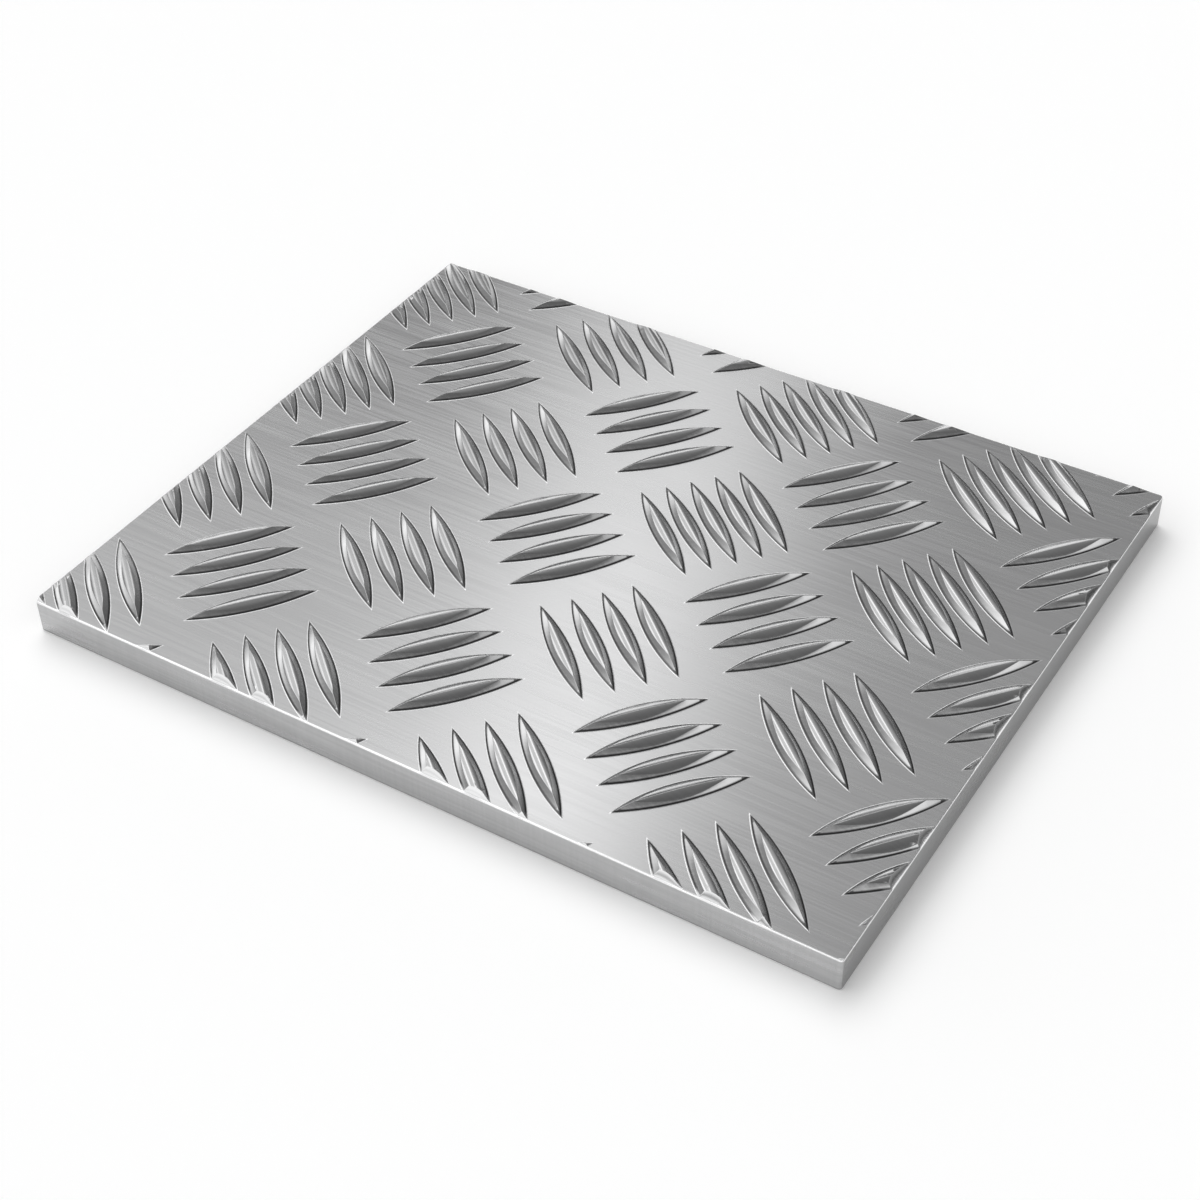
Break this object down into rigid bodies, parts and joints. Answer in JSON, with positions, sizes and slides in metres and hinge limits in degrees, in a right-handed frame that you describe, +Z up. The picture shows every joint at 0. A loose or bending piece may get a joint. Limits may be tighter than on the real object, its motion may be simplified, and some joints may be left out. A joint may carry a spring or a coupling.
{
  "type": "tread plate",
  "caption": "Flat rectangular aluminium tread plate with groups of raised slanted bars in a checkered pattern on its upper face.",
  "frame": {"origin": "centre of the underside", "axes": "+X along the longer edge, +Y along the shorter edge, +Z up out of the tread"},
  "size_m": [0.19, 0.153, 0.0091],
  "materials": {
    "aluminium": "brushed"
  },
  "bodies": {
    "root": {"tread_plate": "aluminium"}
  },
  "joints": []
}
